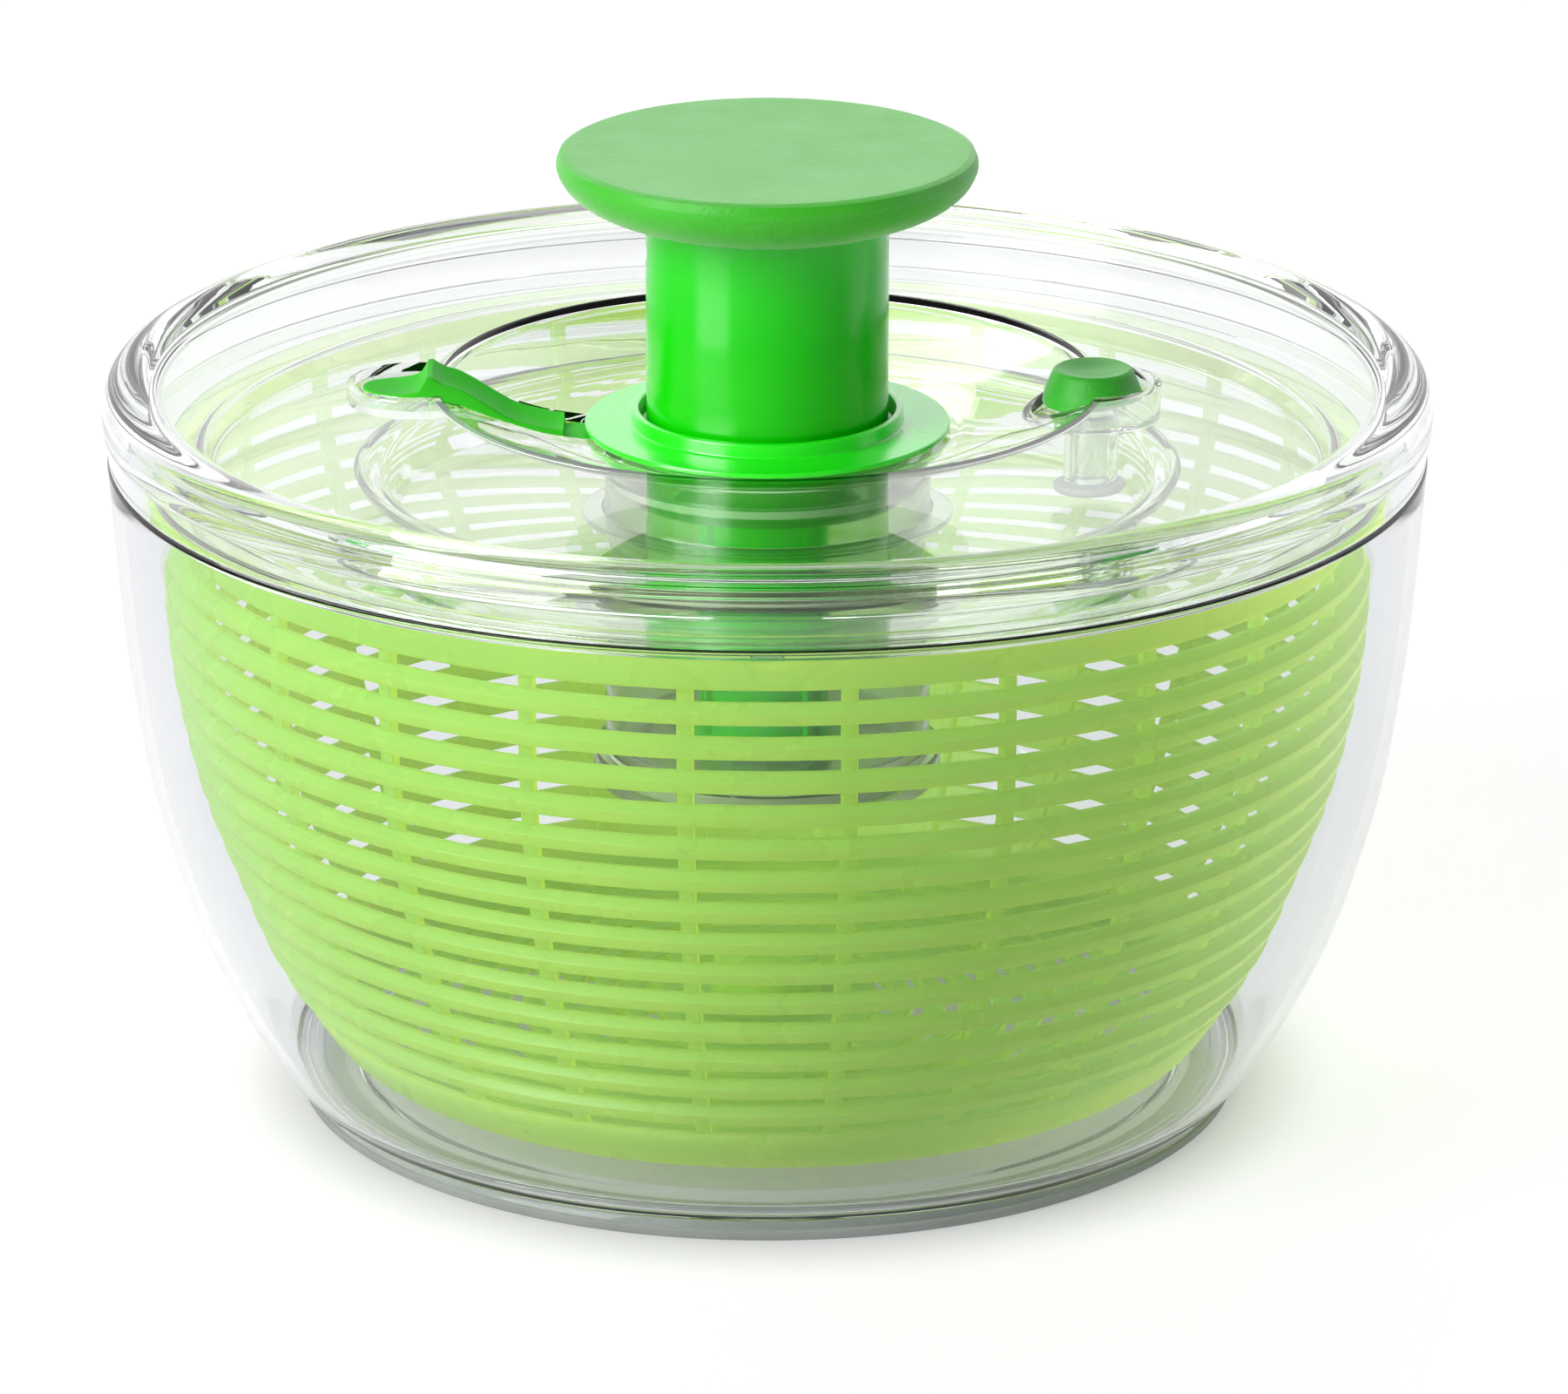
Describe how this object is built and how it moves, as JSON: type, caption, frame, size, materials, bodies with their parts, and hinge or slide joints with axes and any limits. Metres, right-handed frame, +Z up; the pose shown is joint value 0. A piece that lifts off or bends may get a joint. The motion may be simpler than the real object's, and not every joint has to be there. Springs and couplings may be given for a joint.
{
  "type": "salad spinner",
  "caption": "Pump-action salad spinner: clear bowl, slatted green basket on a centre pivot and a clear lid with a push knob, brake button and lock slider.",
  "frame": {"origin": "middle of the base, on the surface that the non-slip ring rests on", "axes": "+Z up along the spin axis, +X from the axis towards the brake button, -X towards the lock slider"},
  "size_m": [0.268, 0.268, 0.1956],
  "materials": {
    "clear_plastic": "clear moulded styrene acrylonitrile, polished",
    "basket_plastic": "translucent yellow-green moulded polypropylene, satin",
    "green_plastic": "bright green moulded ABS, glossy",
    "soft_touch": "soft-touch green elastomer, matt with a fine grain",
    "button_plastic": "darker green soft-touch, matt",
    "acetal": "off-white moulded acetal",
    "grey_rubber": "translucent grey elastomer, matt",
    "spring_steel": "plain bright steel"
  },
  "bodies": {
    "bowl": {"bowl": "clear_plastic", "non_slip_ring": "grey_rubber", "pivot_pin": "spring_steel"},
    "basket_bearing": {"pivot_bush": "acetal"},
    "basket": {"basket": "basket_plastic"},
    "lid": {"lid_shell": "clear_plastic", "collar": "green_plastic", "collar_retainer": "acetal", "bearing_ring": "acetal", "spring_washer": "acetal", "pump_spring": "spring_steel", "brake_spring": "spring_steel"},
    "drive": {"drive_disc": "clear_plastic", "pump_housing": "clear_plastic", "housing_end_cap": "clear_plastic", "ratchet_ring": "acetal", "cap_screw_1": "spring_steel", "cap_screw_2": "spring_steel", "cap_screw_3": "spring_steel", "spindle_guide": "green_plastic", "thrust_washer": "acetal"},
    "spindle": {"twist_rod": "spring_steel", "ratchet_wheel": "acetal"},
    "pump": {"plunger": "green_plastic", "nut_carrier": "green_plastic", "drive_nut": "acetal", "knob_core": "acetal", "knob_cover": "soft_touch", "knob_screw": "spring_steel"},
    "brake": {"brake_button": "button_plastic", "brake_stem": "acetal", "brake_pad": "grey_rubber"},
    "lock": {"lock_slider": "green_plastic"}
  },
  "joints": [
    {"name": "lid_lift", "type": "slide", "parent": "bowl", "child": "lid", "axis": [0, 0, 1], "range_m": [0, 0.26]},
    {"name": "basket_lift", "type": "slide", "parent": "bowl", "child": "basket_bearing", "axis": [0, 0, 1], "range_m": [0, 0.13]},
    {"name": "basket_spin", "type": "hinge", "parent": "basket_bearing", "child": "basket", "pos_m": [0, 0, 0.0128], "axis": [0, 0, 1], "continuous": true},
    {"name": "drive_spin", "type": "hinge", "parent": "lid", "child": "drive", "pos_m": [0, 0, 0.1317], "axis": [0, 0, 1], "continuous": true},
    {"name": "pump_press", "type": "slide", "parent": "lid", "child": "pump", "axis": [0, 0, -1], "range_m": [0, 0.038], "stiffness_N_per_m": 250, "springref_m": -0.03, "deforming": ["pump_spring"]},
    {"name": "spindle_turn", "type": "hinge", "parent": "lid", "child": "spindle", "pos_m": [0, 0, 0.0672], "axis": [0, 0, 1], "range_deg": [0, 541]},
    {"name": "brake_press", "type": "slide", "parent": "lid", "child": "brake", "axis": [0, 0, -1], "range_m": [0, 0.0027], "stiffness_N_per_m": 600, "springref_m": -0.002, "deforming": ["brake_spring"]},
    {"name": "lock_slide", "type": "slide", "parent": "lid", "child": "lock", "axis": [1, 0, 0], "range_m": [0, 0.0035]}
  ],
  "couplings": [
    {"joint": "basket_lift", "follows": "lid_lift", "ratio": 0.5},
    {"joint": "drive_spin", "follows": "basket_spin", "ratio": 1},
    {"joint": "spindle_turn", "follows": "pump_press", "rad_per_m": 248}
  ]
}
